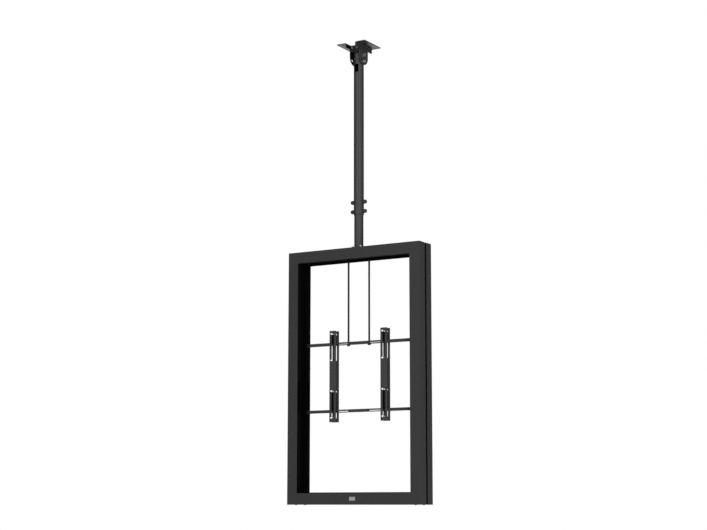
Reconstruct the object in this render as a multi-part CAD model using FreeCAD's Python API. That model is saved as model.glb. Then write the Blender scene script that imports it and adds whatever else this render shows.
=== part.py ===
"""Display ceiling mount: a telescopic mast that carries a double-sided portrait casing.

Frame: millimetres, +Z up, front towards -Y, +X to the right when seen from the front.
The origin is the middle of the ceiling face, on the axis of the mast, so everything hangs at negative Z.
"""
import FreeCAD
import Part
import math
import os

Vector = FreeCAD.Vector
X_AXIS = Vector(1, 0, 0)
Y_AXIS = Vector(0, 1, 0)
Z_AXIS = Vector(0, 0, 1)

# Ceiling head: two folded halves
plate = 4.0
bend_radius = 3.0
wing_reach = 60.5
wing_length = 172.0
wing_corner = 5.0
flange_drop = 26.0
ear_width = 86.0
ear_drop = 108.0
tie_corner = 4.0
fork_clearance = 0.5
ceiling_hole_radius = 5.5
ceiling_hole_along = 120.0
ceiling_hole_across = 120.0

# Tilt pivot and its lock
pivot_drop = 54.0
tilt_limit = 40.0
lock_radius = 36.0
pivot_bolt_radius = 5.0
running_clearance = 0.05
slot_clearance = 0.5
hole_clearance = 0.25
body_gap = 0.3

# Tie plates between the halves
tie_thickness = 3.0
tie_width = 50.0
tie_top = 5.0
tie_bottom = 41.0
tie_bolt_radius = 4.0
tie_bolt_spacing = 29.0
tie_bolt_drop = 19.5
tab_half_gap = 2.0
tab_margin = 2.0
tab_inset = 39.0

# Mast
upper_tube_od = 54.0
upper_tube_wall = 2.2
upper_tube_end = 928.5
tube_above_pivot = 18.0
tube_chamfer = 1.5
cable_slot_width = 23.0
cable_slot_height = 44.0
cable_slot_drop = 105.0
cable_slot_corner = 4.0
clamp_bolt_radius = 5.0
clamp_bolt_spacing = 50.5
clamp_bolt_above_end = 19.5
clamp_cap_radius = 11.0
clamp_cap_straight = 9.0
clamp_cap_dome = 10.0
clamp_seat = 3.0
clamp_thread_in_cap = 10.0

# Telescopic lower tube and its foot
tube_clearance = 0.3
lower_tube_wall = 2.5
telescope_travel = 250.0
tube_above_slot = 27.0
frame_top_drop = 1110.0
flange_size = 62.0
flange_thickness = 8.0
flange_corner = 8.0
weld_leg = 2.2
base_bolt_across = 48.0
base_bolt_along = 45.0
base_bolt_radius = 3.0

# Casing
frame_width = 798.0
frame_height = 1336.0
face_width = 59.5
sheet = 1.5
casing_edge_radius = 1.2
groove = 16.0
front_depth = 59.0
rear_depth = 54.0
front_return = 34.0
vent_width = 16.0
vent_bottom = 475.0
vent_length = 173.0
return_hole_radius = 3.0
return_hole_spacing = 16.0
upper_hole_level = 811.0
lower_hole_level = 461.0
return_hole_inset = 11.0

# Carrying frame
core_recess = 8.0
core_proud = 4.0
core_wall = 3.0
upright_slot = 9.0
upright_slot_offset = 4.0

# Corner brackets and screws of the casing
bracket_width = 25.0
bracket_thickness = 3.0
bracket_foot_gap = 2.0
bracket_leg = 30.0
bracket_inset = 42.0
casing_screw_radius = 2.4
casing_screw_head_radius = 5.0
casing_screw_head = 2.4
casing_screw_along = 11.0
casing_screw_length = 9.0

# Cross bars
bar_depth = 20.0
bar_height = 15.0
bar_wall = 2.0
upper_bar_level = 837.5
lower_bar_level = 484.2
bar_slot_inner = 58.0
bar_slot_drop = 1.2
bar_plug_length = 20.0
bar_bolt_radius = 3.0
bar_bolt_grip = 18.0

# Hanger rods
rod_radius = 5.0
rod_spacing = 126.0
rod_end = 0.5
bolt_tail = 4.0

# Display rails and their hook plates
left_rail_place = 151.0
right_rail_place = 159.0
rail_width = 39.5
rail_thickness = 3.0
rail_bottom = 427.0
rail_length = 481.0
rail_slot_width = 15.0
rail_slot_length = 147.5
rail_slot_margin = 12.0
lower_slot_margin = 19.5
slot_leg_radius = 3.5
slot_leg_reach = 12.0
rail_corner = 2.0
hook_thickness = 3.0
hook_width = 30.0
upper_hook_height = 42.0
lower_hook_height = 93.0
hook_lip_split = 0.5
rail_bolt_radius = 2.0
rail_bolt_tail = 2.0

# Badge
badge_width = 36.0
badge_height = 20.0
badge_thickness = 1.0
badge_level = 30.5
badge_corner = 1.5

# Fastener proportions, as multiples of the bolt's radius
head_height_ratio = 1.3
nut_height_ratio = 1.6
thin_nut_ratio = 1.0
hex_flats_ratio = 3.25
cap_head_ratio = 1.625
cap_socket_ratio = 0.46
washer_radius_ratio = 2.0
washer_height_ratio = 0.4

# Places worked out from the sizes above
upper_radius = upper_tube_od / 2
upper_bore = upper_radius - upper_tube_wall
lower_radius = upper_bore - tube_clearance
lower_bore = lower_radius - lower_tube_wall
fork_half = upper_radius + fork_clearance
ear_outer = fork_half + plate
pivot_z = -pivot_drop
lock_z = pivot_z - lock_radius
upper_tube_top = pivot_z + tube_above_pivot
low_clamp_z = -upper_tube_end + clamp_bolt_above_end
high_clamp_z = low_clamp_z + clamp_bolt_spacing
clamp_slot_radius = clamp_bolt_radius + slot_clearance
frame_top = -frame_top_drop
frame_bottom = frame_top - frame_height
flange_top = frame_top + flange_thickness
half_width = frame_width / 2
opening_half = half_width - face_width
front_y = -groove / 2 - front_depth
rear_y = groove / 2 + rear_depth
core_half_depth = -front_y - front_return
rear_return = rear_y - core_half_depth
bracket_reach = rear_return - sheet - bracket_foot_gap
core_outer = half_width - core_recess
core_inner = opening_half - core_proud
core_top = frame_top - core_recess
core_bottom = frame_bottom + core_recess
beam_height = core_outer - core_inner
bar_half = bar_depth / 2
upper_bar_z = frame_bottom + upper_bar_level
lower_bar_z = frame_bottom + lower_bar_level
hook_inner = bar_half + body_gap
hook_outer = hook_inner + hook_thickness
rail_outer = hook_outer + rail_thickness
rail_z = frame_bottom + rail_bottom
bar_slot_radius = rail_bolt_radius + body_gap
bar_slot_outer = max(left_rail_place, right_rail_place) + bar_slot_radius + body_gap
rail_bolt_drop = bar_slot_drop


def box(x0, x1, y0, y1, z0, z1):
    """A block between two opposite corners."""
    return Part.makeBox(x1 - x0, y1 - y0, z1 - z0, Vector(x0, y0, z0))


def rod(radius, start, end):
    """A round bar from one point to another."""
    start = Vector(*start)
    run = Vector(*end) - start
    return Part.makeCylinder(radius, run.Length, start, run)


def pipe(outer, bore, z0, z1):
    """An upright tube on the axis of the mast."""
    return rod(outer, (0, 0, z0), (0, 0, z1)).cut(rod(bore, (0, 0, z0), (0, 0, z1)))


def polygon(points, run):
    """A straight-sided outline, pushed along a vector."""
    corners = [Vector(*point) for point in points]
    return Part.Face(Part.makePolygon(corners + corners[:1])).extrude(run)


def round_upright_edges(shape, radius, direction):
    """Round the edges of a block that run along one direction."""
    chosen = [edge for edge in shape.Edges if edge_runs_along(edge, direction)]
    return shape.makeFillet(radius, chosen)


def edge_runs_along(edge, direction):
    """True for a straight edge parallel to the direction."""
    if len(edge.Vertexes) != 2:
        return False
    run = edge.Vertexes[1].Point - edge.Vertexes[0].Point
    return run.cross(direction).Length < 1e-6


def obround(radius, start, end, depth):
    """A slot cutter: two round ends and the straight between them, pushed along depth."""
    start = Vector(*start)
    end = Vector(*end)
    side = (end - start).cross(depth).normalize() * radius
    straight = polygon([start + side, end + side, end - side, start - side], depth)
    caps = [Part.makeCylinder(radius, depth.Length, point, depth) for point in (start, end)]
    return straight.multiFuse(caps).removeSplitter()


def hexagon(radius, height, base, direction):
    """A six-sided head or nut for a bolt of the given radius."""
    corner = hex_flats_ratio * radius / math.sqrt(3)
    upright = [(corner * math.cos(k * math.pi / 3), corner * math.sin(k * math.pi / 3), 0) for k in range(6)]
    solid = polygon(upright, Z_AXIS * height)
    solid.Placement = FreeCAD.Placement(Vector(*base), FreeCAD.Rotation(Z_AXIS, direction))
    return solid


def bolt(radius, head_base, direction, length):
    """A hexagon bolt: the head stands along direction, the shank runs the other way."""
    head = hexagon(radius, head_height_ratio * radius, head_base, direction)
    base = Vector(*head_base)
    return head.fuse(rod(radius, base, base - direction * length)).removeSplitter()


def cap_screw(radius, head_base, direction, length):
    """A round-headed screw with a six-sided key socket."""
    base = Vector(*head_base)
    head_height = 2 * radius
    head = rod(cap_head_ratio * radius, base, base + direction * head_height)
    socket = hexagon(cap_socket_ratio * radius, radius, base + direction * radius, direction)
    return head.cut(socket).fuse(rod(radius, base, base - direction * length)).removeSplitter()


def nut(radius, base, direction, ratio=nut_height_ratio):
    """A hexagon nut with a plain bore."""
    height = ratio * radius
    start = Vector(*base)
    return hexagon(radius, height, base, direction).cut(rod(radius, start, start + direction * height))


def washer(radius, base, direction):
    """A flat washer for a bolt of the given radius."""
    start = Vector(*base)
    end = start + direction * (washer_height_ratio * radius)
    return rod(washer_radius_ratio * radius, start, end).cut(rod(radius, start, end))


def mirror_x(shape):
    """The same piece on the other side of the middle."""
    return shape.mirror(Vector(0, 0, 0), X_AXIS)


def mirror_y(shape):
    """The same piece at the back."""
    return shape.mirror(Vector(0, 0, 0), Y_AXIS)


def group(shapes):
    """Separate like solids that share one node."""
    return Part.makeCompound(shapes)


def ear_outline():
    """Flange and ear in one outline, in the plane of the fork's inner face."""
    half = wing_length / 2
    ear_half = ear_width / 2
    centre_z = -ear_drop + ear_half
    corners = [(-half, -bend_radius - plate), (-half, -flange_drop), (-ear_half, -flange_drop),
               (-ear_half, centre_z), (ear_half, centre_z), (ear_half, -flange_drop),
               (half, -flange_drop), (half, -bend_radius - plate)]
    points = [Vector(fork_half, y, z) for y, z in corners]
    edges = [Part.LineSegment(a, b).toShape() for a, b in zip(points, points[1:] + points[:1])]
    edges[3] = Part.Arc(points[3], Vector(fork_half, 0, -ear_drop), points[4]).toShape()
    return Part.Face(Part.Wire(edges)).extrude(X_AXIS * plate)


def folded_wing():
    """The wing and its bend down to the flange, as one bent strip."""
    outer = plate + bend_radius
    half = wing_length / 2
    tip = fork_half + wing_reach
    outer_mid = outer * (1 - math.cos(math.pi / 4))
    inner_mid = plate + bend_radius * (1 - math.cos(math.pi / 4))
    a = Vector(fork_half, -half, -outer)
    b = Vector(fork_half + outer, -half, 0)
    c = Vector(tip, -half, 0)
    d = Vector(tip, -half, -plate)
    e = Vector(fork_half + outer, -half, -plate)
    f = Vector(fork_half + plate, -half, -outer)
    edges = [Part.Arc(a, Vector(fork_half + outer_mid, -half, -outer_mid), b).toShape(),
             Part.LineSegment(b, c).toShape(), Part.LineSegment(c, d).toShape(),
             Part.LineSegment(d, e).toShape(),
             Part.Arc(e, Vector(fork_half + inner_mid, -half, -inner_mid), f).toShape(),
             Part.LineSegment(f, a).toShape()]
    wing = Part.Face(Part.Wire(edges)).extrude(Y_AXIS * wing_length)
    corners = [edge for edge in wing.Edges
               if edge_runs_along(edge, Z_AXIS) and edge.CenterOfMass.x > tip - plate]
    return wing.makeFillet(wing_corner, corners)


def lock_slot():
    """Curved slot about the pivot, as wide as the lock bolt needs and as long as the tilt needs."""
    half_slot = pivot_bolt_radius + slot_clearance
    start = fork_half - plate
    length = 3 * plate
    middle = Vector(start, 0, pivot_z)
    spare = math.degrees(slot_clearance / lock_radius)
    angle = tilt_limit + spare
    # A cylinder about +X measures its angle from -Z after this placement.
    turn = FreeCAD.Rotation(X_AXIS, -angle)
    sector = Part.makeCylinder(lock_radius + half_slot, length, Vector(0, 0, 0), Z_AXIS, 2 * angle)
    sector = sector.cut(Part.makeCylinder(lock_radius - half_slot, length))
    along_x = FreeCAD.Rotation(Y_AXIS, 90)
    sector.Placement = FreeCAD.Placement(middle, turn.multiply(along_x))
    ends = []
    for side in (-1, 1):
        lean = math.radians(side * angle)
        y = lock_radius * math.sin(lean)
        z = pivot_z - lock_radius * math.cos(lean)
        ends.append(rod(half_slot, (start, y, z), (start + length, y, z)))
    return sector.multiFuse(ends)


def bracket_half():
    """Right half of the ceiling head: wing, flange, ear and two tabs."""
    half = folded_wing().fuse(ear_outline())
    tab = box(tab_half_gap, fork_half, -tab_inset, -tab_inset + plate,
              -tie_bottom + tab_margin, -tie_top - tab_margin)
    half = half.multiFuse([tab, mirror_y(tab)]).removeSplitter()
    half = half.cut(rod(pivot_bolt_radius + hole_clearance, (fork_half - plate, 0, pivot_z),
                        (ear_outer + plate, 0, pivot_z)))
    half = half.cut(lock_slot())
    hole_x = ceiling_hole_across / 2
    for side in (-1, 1):
        y = side * ceiling_hole_along / 2
        half = half.cut(rod(ceiling_hole_radius, (hole_x, y, -2 * plate), (hole_x, y, plate)))
        tab_y = side * tab_inset
        hole = rod(tie_bolt_radius + hole_clearance, (tie_bolt_spacing / 2, tab_y - plate, -tie_bolt_drop),
                   (tie_bolt_spacing / 2, tab_y + plate, -tie_bolt_drop))
        half = half.cut(hole)
    return half


def ceiling_head():
    """Halves, tie plates, their bolts and the pivot bolt."""
    right = bracket_half()
    tie_face = -tab_inset - tie_thickness
    tie = box(-tie_width / 2, tie_width / 2, tie_face, -tab_inset, -tie_bottom, -tie_top)
    tie = round_upright_edges(tie, tie_corner, Y_AXIS)
    bolts = []
    nuts = []
    for side in (-1, 1):
        x = side * tie_bolt_spacing / 2
        hole = rod(tie_bolt_radius + hole_clearance, (x, tie_face - plate, -tie_bolt_drop),
                   (x, 0, -tie_bolt_drop))
        tie = tie.cut(hole)
        grip = tie_thickness + plate + nut_height_ratio * tie_bolt_radius
        bolts.append(bolt(tie_bolt_radius, (x, tie_face, -tie_bolt_drop), -Y_AXIS, grip))
        nuts.append(nut(tie_bolt_radius, (x, -tab_inset + plate, -tie_bolt_drop), Y_AXIS))
    thick = washer_height_ratio * pivot_bolt_radius
    seat = ear_outer + thick
    length = 2 * seat + nut_height_ratio * pivot_bolt_radius + bolt_tail
    washers = [washer(pivot_bolt_radius, (side * ear_outer, 0, pivot_z), X_AXIS * side) for side in (-1, 1)]
    return {
        "bracket_right": right,
        "bracket_left": mirror_x(right),
        "tie_plates": group([tie, mirror_y(tie)]),
        "tie_bolts": group(bolts + [mirror_y(one) for one in bolts]),
        "tie_nuts": group(nuts + [mirror_y(one) for one in nuts]),
        "pivot_bolt": bolt(pivot_bolt_radius, (seat, 0, pivot_z), X_AXIS, length),
        "pivot_washers": group(washers),
        "pivot_nut": nut(pivot_bolt_radius, (-seat, 0, pivot_z), -X_AXIS),
    }


def upper_tube():
    """Outer tube of the mast, with its cable slot and cross holes."""
    tube = pipe(upper_radius, upper_bore, -upper_tube_end, upper_tube_top)
    rim = [edge for edge in tube.Edges if edge.CenterOfMass.z < -upper_tube_end + 1e-6
           and abs(edge.BoundBox.XMax - upper_radius) < 1e-3]
    tube = tube.makeChamfer(tube_chamfer, rim)
    slot = box(-cable_slot_width / 2, cable_slot_width / 2, -upper_tube_od, 0,
               -cable_slot_drop - cable_slot_height, -cable_slot_drop)
    tube = tube.cut(round_upright_edges(slot, cable_slot_corner, Y_AXIS))
    cross_holes = [(pivot_z, pivot_bolt_radius + running_clearance),
                   (lock_z, pivot_bolt_radius + hole_clearance),
                   (low_clamp_z, clamp_bolt_radius + hole_clearance),
                   (high_clamp_z, clamp_bolt_radius + hole_clearance)]
    for z, radius in cross_holes:
        tube = tube.cut(rod(radius, (-upper_tube_od, 0, z), (upper_tube_od, 0, z)))
    return tube


def clamp_cap(z):
    """Domed cap on the +X end of a clamp bolt, turned about the bolt's axis."""
    start = upper_radius + clamp_seat
    shoulder = start + clamp_cap_straight
    tip = shoulder + clamp_cap_dome
    sphere = (clamp_cap_radius ** 2 + clamp_cap_dome ** 2) / (2 * clamp_cap_dome)
    half_lean = math.asin(clamp_cap_radius / sphere) / 2
    dome_mid = Vector(tip - sphere + sphere * math.cos(half_lean), 0, z + sphere * math.sin(half_lean))
    a = Vector(start, 0, z)
    b = Vector(start, 0, z + clamp_cap_radius)
    c = Vector(shoulder, 0, z + clamp_cap_radius)
    d = Vector(tip, 0, z)
    edges = [Part.LineSegment(a, b).toShape(), Part.LineSegment(b, c).toShape(),
             Part.Arc(c, dome_mid, d).toShape(), Part.LineSegment(d, a).toShape()]
    cap = Part.Face(Part.Wire(edges)).revolve(Vector(0, 0, z), X_AXIS, 360)
    socket = rod(clamp_bolt_radius, (start, 0, z), (start + clamp_thread_in_cap, 0, z))
    return cap.cut(socket)


def mast():
    """Upper tube with its lock bolt and the two clamp bolts."""
    barrel = rod(upper_radius, (0, 0, -upper_tube_end), (0, 0, upper_tube_top))
    caps = []
    seats = []
    studs = []
    reach = upper_radius + clamp_seat + clamp_thread_in_cap
    for z in (low_clamp_z, high_clamp_z):
        blank = rod(clamp_cap_radius, (0, 0, z), (upper_radius + clamp_seat, 0, z))
        blank = blank.cut(rod(clamp_bolt_radius, (0, 0, z), (upper_tube_od, 0, z)))
        seat = blank.cut(barrel)
        caps += [clamp_cap(z), mirror_x(clamp_cap(z))]
        seats += [seat, mirror_x(seat)]
        studs.append(rod(clamp_bolt_radius, (-reach, 0, z), (reach, 0, z)))
    thick = washer_height_ratio * pivot_bolt_radius
    face = ear_outer + body_gap
    seat_x = face + thick
    length = 2 * seat_x + nut_height_ratio * pivot_bolt_radius + bolt_tail
    washers = [washer(pivot_bolt_radius, (side * face, 0, lock_z), X_AXIS * side) for side in (-1, 1)]
    return {
        "upper_tube": upper_tube(),
        "lock_bolt": bolt(pivot_bolt_radius, (seat_x, 0, lock_z), X_AXIS, length),
        "lock_washers": group(washers),
        "lock_nut": nut(pivot_bolt_radius, (-seat_x, 0, lock_z), -X_AXIS),
        "clamp_bolts": group(studs),
        "clamp_washers": group(seats),
        "clamp_caps": group(caps),
    }


def lower_tube():
    """Inner tube: the clamp bolts ride in its two long slots as it is drawn out."""
    slot_low = low_clamp_z - slot_clearance
    slot_high = high_clamp_z + telescope_travel + slot_clearance
    top = slot_high + clamp_slot_radius + tube_above_slot
    tube = pipe(lower_radius, lower_bore, flange_top, top)
    cutter = obround(clamp_slot_radius, (-upper_tube_od, 0, slot_low), (-upper_tube_od, 0, slot_high),
                     X_AXIS * (2 * upper_tube_od))
    return tube.cut(cutter)


def base_places():
    """The four bolt places round the foot of the mast."""
    across = base_bolt_across / 2
    along = base_bolt_along / 2
    return [(x, y) for x in (-across, across) for y in (-along, along)]


def mast_foot():
    """Flange with its weld, packing plate and bolts on the top beam."""
    half = flange_size / 2
    foot = round_upright_edges(box(-half, half, -half, half, frame_top, flange_top), flange_corner, Z_AXIS)
    inner = lower_radius + running_clearance
    a = Vector(inner, 0, flange_top)
    b = Vector(inner + weld_leg, 0, flange_top)
    c = Vector(inner, 0, flange_top + weld_leg)
    weld = Part.Face(Part.makePolygon([a, b, c, a])).revolve(Vector(0, 0, 0), Z_AXIS, 360)
    foot = foot.fuse(weld).cut(rod(lower_bore, (0, 0, frame_top), (0, 0, flange_top)))
    packing = box(-half, half, -half, half, core_top, frame_top - sheet)
    packing = packing.cut(rod(lower_bore, (0, 0, core_top), (0, 0, frame_top)))
    bolts = []
    washers = []
    nuts = []
    washer_top = flange_top + washer_height_ratio * base_bolt_radius
    nut_seat = core_top - core_wall
    grip = washer_top - nut_seat + nut_height_ratio * base_bolt_radius
    for x, y in base_places():
        hole = rod(base_bolt_radius + hole_clearance, (x, y, core_top), (x, y, flange_top + plate))
        foot = foot.cut(hole)
        packing = packing.cut(hole)
        bolts.append(cap_screw(base_bolt_radius, (x, y, washer_top), Z_AXIS, grip))
        washers.append(washer(base_bolt_radius, (x, y, flange_top), Z_AXIS))
        nuts.append(nut(base_bolt_radius, (x, y, nut_seat), -Z_AXIS))
    return {
        "lower_tube": lower_tube(),
        "base_flange": foot,
        "packing_plate": packing,
        "base_bolts": group(bolts),
        "base_washers": group(washers),
        "base_nuts": group(nuts),
    }


def ring(outer_margin, inner_margin, y0, y1):
    """A rectangular frame between an outline inside the casing and an outline outside the opening."""
    outer = box(-half_width + outer_margin, half_width - outer_margin, y0, y1,
                frame_bottom + outer_margin, frame_top - outer_margin)
    reach = opening_half + inner_margin
    low = frame_bottom + face_width - inner_margin
    high = frame_top - face_width + inner_margin
    return outer.cut(box(-reach, reach, y0 - sheet, y1 + sheet, low, high))


def casing(face_y, direction, depth, inner_return):
    """A folded sheet frame: face, outer return and shorter inner return, open towards the groove."""
    back_y = face_y + direction * depth
    shell = ring(0, 0, min(face_y, back_y), max(face_y, back_y))
    rim = [edge for edge in shell.Edges if abs(edge.BoundBox.YMin - face_y) < 1e-6
           and abs(edge.BoundBox.YMax - face_y) < 1e-6]
    shell = shell.makeFillet(casing_edge_radius, rim)
    inside = face_y + direction * sheet
    past = back_y + direction * sheet
    shell = shell.cut(ring(sheet, sheet, min(inside, past), max(inside, past)))
    cut_from = face_y + direction * inner_return
    shell = shell.cut(ring(sheet, -sheet, min(cut_from, past), max(cut_from, past)))
    shell = shell.cut(return_openings(face_y, direction, inner_return))
    for x, y in base_places():
        shell = shell.cut(rod(base_bolt_radius + hole_clearance, (x, y, core_top), (x, y, flange_top)))
    shell = shell.cut(rod(lower_bore, (0, 0, core_top), (0, 0, flange_top)))
    return shell.cut(group([screw_hole(place) for place in screw_places(direction)]))


def return_openings(face_y, direction, inner_return):
    """Vent slot and fixing holes in both inner side returns."""
    vent_y = face_y + direction * (sheet + inner_return) / 2
    radius = vent_width / 2
    low = frame_bottom + vent_bottom + radius
    start = -opening_half - 2 * sheet
    run = X_AXIS * (2 * (opening_half + 2 * sheet))
    cutters = [obround(radius, (start, vent_y, low), (start, vent_y, low + vent_length - vent_width), run)]
    hole_y = face_y + direction * return_hole_inset
    for level in (upper_hole_level, lower_hole_level):
        for step in (0, 1):
            z = frame_bottom + level - step * return_hole_spacing
            cutters.append(Part.makeCylinder(return_hole_radius, run.Length, Vector(start, hole_y, z), X_AXIS))
    return group(cutters)


def screw_places(direction):
    """Where the corner screws of the front (-1 side) or rear casing go in, with the side they enter from."""
    y = -direction * (core_half_depth + casing_screw_along)
    x = half_width - bracket_inset
    return [(side * x, y, level, up) for side in (-1, 1) for level, up in ((frame_bottom, 1), (frame_top, -1))]


def screw_hole(place):
    """Clear hole for one corner screw."""
    x, y, z, up = place
    return rod(casing_screw_radius + hole_clearance, (x, y, z - 2 * sheet), (x, y, z + 2 * sheet))


def corner_screw(place):
    """Pan-head screw through the sheet into the corner bracket."""
    x, y, z, up = place
    head = Part.makeCone(casing_screw_head_radius, casing_screw_head_radius * 0.7, casing_screw_head,
                         Vector(x, y, z), Vector(0, 0, -up))
    return head.fuse(rod(casing_screw_radius, (x, y, z), (x, y, z + up * casing_screw_length)))


def corner_bracket(place):
    """Angle bracket between the carrying frame and the sheet."""
    x, y, z, up = place
    face = math.copysign(core_half_depth, y)
    out = math.copysign(1, y)
    sheet_in = z + up * sheet
    foot_y = sorted((face, face + out * bracket_reach))
    leg_y = sorted((face, face + out * bracket_thickness))
    foot_z = sorted((sheet_in, sheet_in + up * bracket_thickness))
    leg_z = sorted((sheet_in, sheet_in + up * bracket_leg))
    low = x - bracket_width / 2
    high = x + bracket_width / 2
    foot = box(low, high, foot_y[0], foot_y[1], foot_z[0], foot_z[1])
    leg = box(low, high, leg_y[0], leg_y[1], leg_z[0], leg_z[1])
    hole = rod(casing_screw_radius, (x, y, foot_z[0]), (x, y, foot_z[1]))
    return foot.fuse(leg).removeSplitter().cut(hole)


def casings():
    """Front and rear sheet frames with their corner fixings and the bare badge."""
    places = screw_places(1) + screw_places(-1)
    half = badge_width / 2
    badge_z = frame_bottom + badge_level
    badge = box(-half, half, front_y - badge_thickness, front_y,
                badge_z - badge_height / 2, badge_z + badge_height / 2)
    return {
        "front_casing": casing(front_y, 1, front_depth, front_return),
        "rear_casing": casing(rear_y, -1, rear_depth, rear_return),
        "casing_brackets": group([corner_bracket(place) for place in places]),
        "casing_screws": group([corner_screw(place) for place in places]),
        "badge_plate": round_upright_edges(badge, badge_corner, Y_AXIS),
    }


def upright():
    """Right-hand upright of the carrying frame: a box section slotted towards the opening."""
    solid = box(core_inner, core_outer, -core_half_depth, core_half_depth, core_bottom, core_top)
    inside = core_half_depth - core_wall
    solid = solid.cut(box(core_inner + core_wall, core_outer - core_wall, -inside, inside,
                          core_bottom + core_wall, core_top - core_wall))
    slot_y = -upright_slot_offset
    half = upright_slot / 2
    return solid.cut(box(core_inner, core_inner + core_wall, slot_y - half, slot_y + half,
                         core_bottom + beam_height, core_top - beam_height))


def beam(low):
    """A crosswise box section between the uprights."""
    solid = box(-core_inner, core_inner, -core_half_depth, core_half_depth, low, low + beam_height)
    inside = core_half_depth - core_wall
    hollow = box(-core_inner, core_inner, -inside, inside, low + core_wall, low + beam_height - core_wall)
    return solid.cut(hollow)


def carrying_frame():
    """Two uprights and two beams inside the casing."""
    top = beam(core_top - beam_height)
    for x, y in base_places():
        top = top.cut(rod(base_bolt_radius + hole_clearance, (x, y, core_top - core_wall), (x, y, core_top)))
    top = top.cut(rod(lower_bore, (0, 0, core_top - beam_height), (0, 0, core_top)))
    for side in (-1, 1):
        x = side * rod_spacing / 2
        top = top.cut(rod(rod_radius + hole_clearance, (x, 0, core_top - beam_height), (x, 0, core_top)))
    right = upright()
    return {
        "right_upright": right,
        "left_upright": mirror_x(right),
        "top_beam": top,
        "bottom_beam": beam(core_bottom),
    }


def cross_bar(z, has_rods):
    """A flat box bar with two long slots for the rail bolts."""
    half = bar_height / 2
    solid = box(-core_inner, core_inner, -bar_half, bar_half, z - half, z + half)
    inside = bar_half - bar_wall
    solid = solid.cut(box(-core_inner, core_inner, -inside, inside, z - half + bar_wall, z + half - bar_wall))
    for side in (-1, 1):
        start = (side * (bar_slot_inner + bar_slot_radius), -bar_half, z - bar_slot_drop)
        end = (side * (bar_slot_outer - bar_slot_radius), -bar_half, z - bar_slot_drop)
        solid = solid.cut(obround(bar_slot_radius, start, end, Y_AXIS * bar_depth))
        if has_rods:
            x = side * rod_spacing / 2
            solid = solid.cut(rod(rod_radius + hole_clearance, (x, 0, z - half), (x, 0, z + half)))
    return solid


def bar_end(z):
    """Plug in the right-hand end of a bar, and the bolt that draws it to the upright."""
    inside = bar_half - bar_wall
    height = bar_height / 2 - bar_wall
    y = -upright_slot_offset
    plug = box(core_inner - bar_plug_length, core_inner, -inside, inside, z - height, z + height)
    seat = core_inner + core_wall
    washer_top = seat + washer_height_ratio * bar_bolt_radius
    length = washer_top - core_inner + bar_bolt_grip
    hole = rod(bar_bolt_radius, (core_inner - bar_bolt_grip, y, z), (core_inner, y, z))
    fixing = bolt(bar_bolt_radius, (washer_top, y, z), X_AXIS, length)
    return plug.cut(hole), fixing.fuse(washer(bar_bolt_radius, (seat, y, z), X_AXIS))


def bars_and_rods():
    """Cross bars, their end fixings and the two rods that hang the upper bar."""
    plugs = []
    fixings = []
    for z in (upper_bar_z, lower_bar_z):
        plug, fixing = bar_end(z)
        plugs += [plug, mirror_x(plug)]
        fixings += [fixing, mirror_x(fixing)]
    rods = []
    top_nuts = []
    washers = []
    nuts = []
    nut_height = thin_nut_ratio * rod_radius
    bar_low = upper_bar_z - bar_height / 2
    nut_top = bar_low - washer_height_ratio * rod_radius
    for side in (-1, 1):
        x = side * rod_spacing / 2
        rods.append(rod(rod_radius, (x, 0, nut_top - nut_height - rod_end),
                        (x, 0, core_top + nut_height + rod_end)))
        top_nuts.append(nut(rod_radius, (x, 0, core_top), Z_AXIS, thin_nut_ratio))
        washers.append(washer(rod_radius, (x, 0, bar_low), -Z_AXIS))
        nuts.append(nut(rod_radius, (x, 0, nut_top), -Z_AXIS, thin_nut_ratio))
    return {
        "upper_bar": cross_bar(upper_bar_z, True),
        "lower_bar": cross_bar(lower_bar_z, False),
        "bar_plugs": group(plugs),
        "bar_bolts": group(fixings),
        "hanger_rods": group(rods),
        "rod_top_nuts": group(top_nuts),
        "rod_bar_washers": group(washers),
        "rod_bar_nuts": group(nuts),
    }


def rail_slot(low):
    """Cutter for one rail slot: long, with a short side leg at each end, where a bolt can be turned in."""
    radius = rail_slot_width / 2
    high = low + rail_slot_length
    through = Y_AXIS * rail_thickness
    first = Vector(0, -rail_outer, low + radius)
    last = Vector(0, -rail_outer, high - radius)
    legs = []
    for level in (low + slot_leg_radius, high - slot_leg_radius):
        inner = Vector(0, -rail_outer, level)
        legs.append(obround(slot_leg_radius, inner, inner - X_AXIS * slot_leg_reach, through))
    return obround(radius, first, last, through).multiFuse(legs)


def display_rail():
    """Front rail on the middle line: a flat strip with two long slots."""
    half = rail_width / 2
    strip = box(-half, half, -rail_outer, -hook_outer, rail_z, rail_z + rail_length)
    strip = round_upright_edges(strip, rail_corner, Y_AXIS)
    upper_low = rail_z + rail_length - rail_slot_margin - rail_slot_length
    lower_low = rail_z + lower_slot_margin
    return strip.cut(rail_slot(upper_low)).cut(rail_slot(lower_low))


def hook_plate(bar_z, height):
    """Front hook plate on the middle line: stands behind a rail and laps over the top of a bar."""
    half = hook_width / 2
    low = bar_z - bar_height / 2
    top = bar_z + bar_height / 2
    lip = top + body_gap
    stem = box(-half, half, -hook_outer, -hook_inner, low, top + height)
    tongue = box(-half, half, -hook_inner, -hook_lip_split, lip, lip + hook_thickness)
    hole_z = bar_z - rail_bolt_drop
    hole = rod(rail_bolt_radius + hole_clearance, (0, -rail_outer, hole_z), (0, 0, hole_z))
    return stem.fuse(tongue).removeSplitter().cut(hole)


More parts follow.
